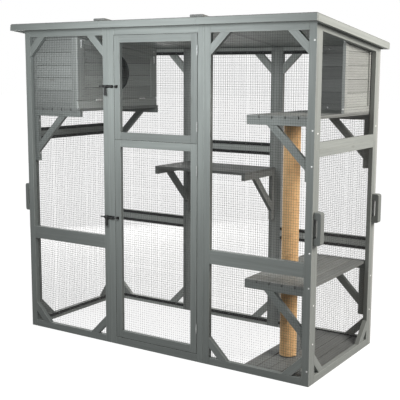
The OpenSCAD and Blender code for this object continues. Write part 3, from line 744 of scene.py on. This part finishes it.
def net_sheet(corner, across, width, height, inwards):
    """One sheet: corner is its lowest point, across its level direction, inwards its normal."""
    across, inwards, up = Vector(across), Vector(inwards), Vector((0, 0, 1))
    rows = int((height - 2 * net_spare) / mesh_pitch) + 1
    columns = int((width - 2 * net_spare) / mesh_pitch) + 1
    side = (width - (columns - 1) * mesh_pitch) / 2
    foot = (height - (rows - 1) * mesh_pitch) / 2
    near = Vector(corner) + inwards * (net_gap + wire_d / 2)
    uprights = wire_row(near + across * side, height, up, across * mesh_pitch, columns)
    far = near + inwards * wire_d
    levels = wire_row(far + up * foot, width, across, up * mesh_pitch, rows)
    return joined([uprights, levels], "net")


def standing_sheet(x0, x1, z0, z1, place_in, side):
    """A sheet along the front or the back; side is 1 where its uprights lie nearer the front."""
    return net_sheet((x0, front_y + place_in, z0), (1, 0, 0), x1 - x0, z1 - z0, (0, side, 0))


def flanking_sheet(side, z0, z1):
    """A sheet along a side wall, on its inner face; side is 1 for the right wall."""
    return net_sheet((side * (half_width - wall), front_y + inner_front, z0), (0, 1, 0),
                     inner_back - inner_front, z1 - z0, (-side, 0, 0))


def cut_under_roof(piece, drop):
    """Cuts a side net along the roof's slope, a little under it."""
    pick_only(piece)
    open_edit()
    bpy.ops.mesh.select_all(action="SELECT")
    tilt = Vector((0, roof_fall, 1)).normalized()
    bpy.ops.mesh.bisect(plane_co=(0, front_y + wall, front_top - drop), plane_no=tilt, use_fill=True,
                        clear_outer=True)
    close_edit()


def finish_net(pieces, node):
    piece = joined(pieces, node + "_wires")
    smooth(piece, 65)
    hand_over(piece, body_of[node], "wire", looks_of["wire"], node)


front_net_top = front_top - net_margin
back_net_top = back_top - net_margin
outer_net_x = panel / 2 + net_margin
middle_net_x = panel / 2 - net_margin
back_face = depth - wall
finish_net([standing_sheet(-inner_x, -outer_net_x, net_margin, front_net_top, wall, 1)], "net_front_left")
finish_net([standing_sheet(outer_net_x, inner_x, net_margin, front_net_top, wall, 1)], "net_front_right")
back_bays = ((-inner_x, -outer_net_x), (-middle_net_x, middle_net_x), (outer_net_x, inner_x))
finish_net([standing_sheet(x0, x1, net_margin, back_net_top, back_face, -1) for x0, x1 in back_bays],
           "net_back")
for node, side in (("net_left", -1), ("net_right", 1)):
    lower = flanking_sheet(side, net_margin, side_split - net_margin)
    upper = flanking_sheet(side, side_split + net_margin, front_net_top)
    cut_under_roof(upper, net_margin)
    finish_net([lower, upper], node)
door_net_x = (-0.248, 0.2468)
door_back = 0.022
for node, low, high in (("net_lower_door", 0.058, 1.115), ("net_upper_door", 1.145, 1.659)):
    finish_net([standing_sheet(*door_net_x, low, high, door_back, 1)], node)


# Scratching post

post_x, post_in = 0.65, 0.275
rope_pitch = 0.006
rope_ring = 0.04
rope_depth = 0.0039
rope_points = 8
steps_a_turn = 28
below_low_shelf = (0.0323, 0.4597)
above_low_shelf = (0.4753, 1.2677)


def wind_rope(bottom, top):
    """Rope wound round the core from bottom to top, as one profile turned by a screw."""
    nothing_picked()
    turns = int((top - bottom) / rope_pitch) - 1
    pitch = (top - bottom - rope_pitch) / turns
    bpy.ops.mesh.primitive_circle_add(vertices=rope_points, radius=1, location=(rope_ring, 0, 0),
                                      rotation=(math.pi / 2, 0, 0))
    rope = bpy.context.object
    rope.scale = (rope_depth, pitch / 2, 1)
    settle(rope)
    modifier(rope, "SCREW", angle=2 * math.pi, screw_offset=pitch, iterations=turns, steps=steps_a_turn,
             render_steps=steps_a_turn, axis="Z", use_normal_calculate=True)
    winding = rope.data.attributes.new("winding", "FLOAT_VECTOR", "CORNER")
    step_length = 2 * math.pi * rope_ring / steps_a_turn
    for face in rope.data.polygons:
        spots = [rope.data.loops[corner].vertex_index for corner in face.loop_indices]
        closing = {spot % rope_points for spot in spots} == {0, rope_points - 1}
        for corner, spot in zip(face.loop_indices, spots):
            round_place = spot % rope_points
            if closing and round_place == 0:
                round_place = rope_points
            winding.data[corner].vector = (spot // rope_points * step_length, round_place / rope_points, 0)
    open_edit()
    close_open_ends()
    bpy.ops.mesh.normals_make_consistent(inside=False)
    close_edit()
    rope.location = (post_x, front_y + post_in, bottom + pitch / 2)
    settle(rope)
    smooth(rope, 60)
    return rope


ropes = [wind_rope(*below_low_shelf), wind_rope(*above_low_shelf)]
hand_over(joined(ropes, "post_rope"), "house", "sisal", looks_of["sisal"], "post_sisal")


# Edging of the nets, painted shadow in the door gaps, staples and screws

edging_w = 0.017
edging_t = 0.0006
edging_lift = 0.00005
edging_inset = 0.001
staple_pitch = 0.1
staple_wire = 0.0006
staple_reach = 0.0045
staple_flatness = 0.56
rail = 0.038
split_rail = 0.034
mid_low, mid_high, middle_panel_rail = 0.53, 0.6, 1.014


def facing(place, out, along):
    """The matrix that puts a small part at a place, with its Z axis out and its X axis along."""
    out, along = Vector(out).normalized(), Vector(along).normalized()
    made = Matrix((along, out.cross(along), out)).transposed().to_4x4()
    made.translation = Vector(place)
    return made


def edging_strip(start, end, out):
    """Thin black strip under the edge of a net."""
    start, end = Vector(start), Vector(end)
    strip = block((0, 0, 0), ((end - start).length, edging_w, edging_t))
    modifier(strip, "BEVEL", width=0.0002, segments=2)
    middle = (start + end) / 2 + Vector(out) * (edging_t / 2 + edging_lift)
    strip.data.transform(facing(middle, out, end - start))
    return strip


def gap_shadow_strip(low, high):
    """Thin black strip in the gap round a door, given by its two far corners: painted shadow in the gap."""
    low, high = Vector(low), Vector(high)
    strip = block((low + high) / 2, high - low)
    modifier(strip, "BEVEL", width=0.0001, segments=2)
    return strip


def staple():
    """A flat arch of wire that stands on the XY plane, with its crown along X."""
    nothing_picked()
    bpy.ops.mesh.primitive_circle_add(vertices=6, radius=staple_wire, location=(staple_reach, 0, 0))
    made = bpy.context.object
    settle(made)
    modifier(made, "SCREW", angle=-math.pi, screw_offset=0, steps=6, render_steps=6, axis="Y",
             use_normal_calculate=True)
    pick_only(made)
    open_edit()
    close_open_ends()
    bpy.ops.transform.resize(value=(1, 1, staple_flatness))
    bpy.ops.mesh.normals_make_consistent(inside=False)
    close_edit()
    return made


def screw_head(radius, rise):
    """A domed head on the XY plane with a cross recess."""
    nothing_picked()
    bpy.ops.mesh.primitive_uv_sphere_add(segments=16, ring_count=8, radius=1)
    head = bpy.context.object
    head.scale = (radius, radius, rise)
    settle(head)
    open_edit()
    bpy.ops.mesh.select_all(action="SELECT")
    bpy.ops.mesh.bisect(plane_co=(0, 0, 0.00001), plane_no=(0, 0, 1), use_fill=True, clear_inner=True)
    close_edit()
    arm_l, arm_w = radius * 1.1, radius * 0.24
    arms = [block((0, 0, rise), (x, y, rise)) for x, y in ((arm_l, arm_w), (arm_w, arm_l))]
    for arm in arms:
        modifier(head, "BOOLEAN", object=arm, operation="DIFFERENCE", solver="EXACT")
    discard(*arms)
    return head


def repeat_at(one, places, name, degrees, slot, look):
    """Puts a copy of a small part at each place, and hands them over as one piece of the house."""
    copies = [copy_to(one, place) for place in places]
    discard(one)
    piece = joined(copies, name)
    smooth(piece, degrees)
    hand_over(piece, "house", slot, (look,))


def spots_along(start, end, pitch):
    start, end = Vector(start), Vector(end)
    count = max(2, round((end - start).length / pitch))
    return [start.lerp(end, (i + 0.5) / count) for i in range(count)]


strips = []
staple_places = []


def hold_net(start, end, out, edged=True):
    """Staples along one edge of a bay, and an edging strip where the edge is level."""
    if edged:
        strips.append(edging_strip(start, end, out))
    for spot in spots_along(start, end, staple_pitch):
        staple_places.append(facing(spot, out, Vector(end) - Vector(start)))


def hold_bay(x0, x1, z0, z1, place_in, side):
    """The four edges of a bay in the front or back wall; side is 1 for the front wall."""
    y = front_y + place_in
    reach = edging_w / 2 + edging_inset
    for z in (z0 - reach, z1 + reach):
        hold_net((x0, y, z), (x1, y, z), (0, side, 0))
    for x in (x0 - reach, x1 + reach):
        hold_net((x, y, z0), (x, y, z1), (0, side, 0), False)


def hold_side_bay(side, z0, z1, slope):
    """The edges of a bay in a side wall; slope is the fall of its top from front to back."""
    x = side * (half_width - wall)
    reach = edging_w / 2 + edging_inset
    near, far = front_y + wall + rail, front_y + depth - wall - rail
    hold_net((x, near, z0 - reach), (x, far, z0 - reach), (-side, 0, 0))
    hold_net((x, near, z1 + reach), (x, far, z1 - slope + reach), (-side, 0, 0))
    for y, top in ((near - reach, z1), (far + reach, z1 - slope)):
        hold_net((x, y, z0), (x, y, top), (-side, 0, 0), False)


for left in (-half_width, panel / 2):
    for low, high in ((rail, mid_low), (mid_high, front_top - rail)):
        hold_bay(left + rail, left + panel - rail, low, high, wall, 1)
for left in (-half_width, -panel / 2, panel / 2):
    middle_rail = middle_panel_rail if left == -panel / 2 else mid_low
    for low, high in ((rail, middle_rail), (middle_rail + mid_high - mid_low, back_top - rail)):
        hold_bay(left + rail, left + panel - rail, low, high, back_face, -1)
bay_depth = depth - 2 * wall - 2 * rail
for side in (-1, 1):
    hold_side_bay(side, rail, side_split - split_rail, 0)
    hold_side_bay(side, side_split + split_rail, roof_height(wall + rail) - rail, roof_fall * bay_depth)
hand_over(joined(strips, "net_edging"), "house", "black_metal", (strip_coat,))

# Painted shadow: thin black strips in the gaps round the doors, where there is only shade.
gap_shadow_t = 0.0005
gap_shadow_air = 0.00003
gap_shadow_inset = 0.001
gap_shadow_front, gap_shadow_back = front_y + 0.0006, front_y + 0.012
jamb_x, opening_low, opening_top, door_split = 0.264, 0.042, 1.675, 1.129
gap_shadow_end_x = 0.26
top_gap_shadow_x = (-jamb_x + 0.004, 0.258)
gap_shadow_strips = [
    gap_shadow_strip((-jamb_x + gap_shadow_air, gap_shadow_front, opening_low + gap_shadow_inset),
               (-jamb_x + gap_shadow_t, gap_shadow_back, opening_top - gap_shadow_inset)),
    gap_shadow_strip((-jamb_x + gap_shadow_inset, gap_shadow_front, opening_low + gap_shadow_air),
               (gap_shadow_end_x, gap_shadow_back, opening_low + gap_shadow_t)),
    gap_shadow_strip((-jamb_x + gap_shadow_inset, gap_shadow_front, opening_top - gap_shadow_t),
               (gap_shadow_end_x, gap_shadow_back, opening_top - gap_shadow_air)),
]
hand_over(joined(gap_shadow_strips, "door_gap_painted_shadow"), "house", "black_metal", (strip_coat,))
top_gap_shadow = gap_shadow_strip((top_gap_shadow_x[0], gap_shadow_front, door_split + gap_shadow_air),
                      (top_gap_shadow_x[1], gap_shadow_back, door_split + gap_shadow_t))
top_gap_shadow.name = "lower_door_gap_painted_shadow"
hand_over(top_gap_shadow, body_of["lower_door"], "black_metal", (strip_coat,))

repeat_at(staple(), staple_places, "net_staples", 60, "zinc", zinc)

to_front, to_back = (0, -1, 0), (0, 1, 0)
corner_screw_x = 0.889
corner_screw_z = (1.628, 1.221, 1.056, 0.649, 0.482, 0.075)
back_screw_top = 1.56
side_screw_z = (1.206, 0.393, 0.203)
side_screw_in = 0.034
leg_face = inner_x - 0.0303
leg_screw_inset = 0.0113
leg_screw_drops = (0.074, 0.262)
bracketed_shelves = ((-1, 1.283), (1, 1.283), (1, 0.475))
nook_face_in = 0.7431
nook_screw_x = (0.625, 0.77)
nook_screw_z = (1.298, 1.612)
nook_strip_x, nook_strip_in = 0.8631, 0.3987
nook_strip_screw_z = (1.305, 1.637)
plate_face_in = -0.0018
plate_screw_x = -0.293
plate_screw_lift = 0.0054
latch_z = (0.707, 1.408)


def head_at(x, place_in, z, out):
    """A place for a screw head on a face that looks out along X or Y."""
    along = (0, 1, 0) if out[0] else (1, 0, 0)
    return facing((x, front_y + place_in, z), out, along)


head_places = [head_at(corner_screw_x, 0, z, to_front) for z in corner_screw_z]
for side in (-1, 1):
    for z in corner_screw_z:
        head_places.append(head_at(side * corner_screw_x, depth, min(z, back_screw_top), to_back))
    for z in side_screw_z:
        for place_in in (side_screw_in, depth - side_screw_in):
            head_places.append(head_at(side * half_width, place_in, z, (side, 0, 0)))
for side, shelf_top in bracketed_shelves:
    for drop in leg_screw_drops:
        for place_in in (inner_front + leg_screw_inset, inner_back - leg_screw_inset):
            head_places.append(head_at(side * leg_face, place_in, shelf_top - drop, (-side, 0, 0)))
head_places += [head_at(x, nook_face_in, z, to_front) for x in nook_screw_x for z in nook_screw_z]
head_places += [head_at(nook_strip_x, nook_strip_in, z, to_front) for z in nook_strip_screw_z]
repeat_at(screw_head(0.0044, 0.0021), head_places, "frame_screws", 50, "zinc", plated_steel_and_painted_glint)

plate_screws = [head_at(plate_screw_x, plate_face_in, z + lift, to_front)
                for z in latch_z for lift in (-plate_screw_lift, plate_screw_lift)]
repeat_at(screw_head(0.0016, 0.0007), plate_screws, "latch_screws", 50, "black_metal", black_coat)


# Studio: pale floor, white surroundings, soft light and the photograph's viewpoint


floor_size = 80
floor_grey = 0.22
glow_from, glow_to = 1.5, 6.0
camera_place = (2.5071, -3.8084, 1.4745)
camera_lens = 74.293
camera_turn, camera_dip, camera_roll = (math.radians(angle) for angle in (32.96, 8.67, 0.25))


def shown_directly(tree):
    """1 for what the camera, a mirror or glass sees, and 0 for light that falls on the object."""
    path = add(tree, "LightPath")
    seen = sums(tree, "MAXIMUM", path.outputs["Is Camera Ray"], path.outputs["Is Glossy Ray"])
    return sums(tree, "MAXIMUM", seen, path.outputs["Is Transmission Ray"])


def lay_floor(near_glow):
    """A pale floor that shows the object's shadow near by and runs out into white far away."""
    nothing_picked()
    bpy.ops.mesh.primitive_plane_add(size=floor_size, location=(0, 0, 0))
    floor = bpy.context.object
    floor.name = "floor"
    made = bpy.data.materials.new("pale_floor")
    made.use_nodes = True
    tree = made.node_tree
    tree.nodes.clear()
    shade = add(tree, "BsdfDiffuse", {"Color": grey(floor_grey, floor_grey, floor_grey)})
    glow = add(tree, "Emission", {"Color": (1, 1, 1, 1)})
    away = add(tree, "VectorMath", operation="LENGTH")
    feed(tree, add(tree, "TexCoord").outputs["Object"], away.inputs[0])
    brightness = spread(tree, away.outputs["Value"], glow_from, glow_to, near_glow, 1.0)
    feed(tree, brightness, glow.inputs["Strength"])
    both = add(tree, "AddShader")
    feed(tree, shade.outputs[0], both.inputs[0])
    feed(tree, glow.outputs[0], both.inputs[1])
    choose = add(tree, "MixShader")
    feed(tree, shown_directly(tree), choose.inputs[0])
    feed(tree, shade.outputs[0], choose.inputs[1])
    feed(tree, both.outputs[0], choose.inputs[2])
    feed(tree, choose.outputs[0], add(tree, "OutputMaterial").inputs[0])
    floor.data.materials.append(made)


def light_surroundings(strength):
    world = bpy.data.worlds.new("studio")
    bpy.context.scene.world = world
    world.use_nodes = True
    tree = world.node_tree
    around = tree.nodes["Background"]
    around.inputs["Color"].default_value = (1, 1, 1, 1)
    feed(tree, spread(tree, shown_directly(tree), 0.0, 1.0, strength, 1.0), around.inputs["Strength"])


def add_lamp(name, place, target, size, power, colour):
    nothing_picked()
    bpy.ops.object.light_add(type="AREA", location=place)
    lamp = bpy.context.object
    lamp.name = name
    lamp.data.shape = "RECTANGLE"
    lamp.data.size, lamp.data.size_y = size
    lamp.data.energy = power
    lamp.data.color = colour
    lamp.visible_camera = False
    lamp.rotation_euler = (Vector(target) - Vector(place)).to_track_quat("-Z", "Y").to_euler()


def place_camera():
    nothing_picked()
    bpy.ops.object.camera_add(location=camera_place)
    camera = bpy.context.object
    camera.data.lens = camera_lens
    camera.data.sensor_width = 36
    reach = math.cos(camera_dip)
    ahead = Vector((-math.sin(camera_turn) * reach, math.cos(camera_turn) * reach, -math.sin(camera_dip)))
    level = Vector((math.cos(camera_turn), math.sin(camera_turn), 0))
    upright = level.cross(ahead)
    right = level * math.cos(camera_roll) + upright * math.sin(camera_roll)
    up = upright * math.cos(camera_roll) - level * math.sin(camera_roll)
    stance = Matrix((right, up, -ahead)).transposed().to_4x4()
    stance.translation = camera.location
    camera.matrix_world = stance
    bpy.context.scene.camera = camera


lay_floor(0.9)
light_surroundings(0.19)
add_lamp("side_key", (3.4, 0.2, 2.55), (0.6, 0, 0.9), (1.6, 1.6), 147, (1.0, 0.95, 0.89))
add_lamp("rear_fill", (-2.6, 2.5, 0.9), (-0.1, 0, 1.05), (2.2, 1.3), 50, (1.0, 0.985, 0.96))
add_lamp("front_top", (0.04, -1.34, 1.7), (0.06, 0, 1.0), (1.3, 0.35), 20.5, (0.94, 0.985, 1.0))
place_camera()
bpy.context.scene.view_settings.view_transform = "Standard"
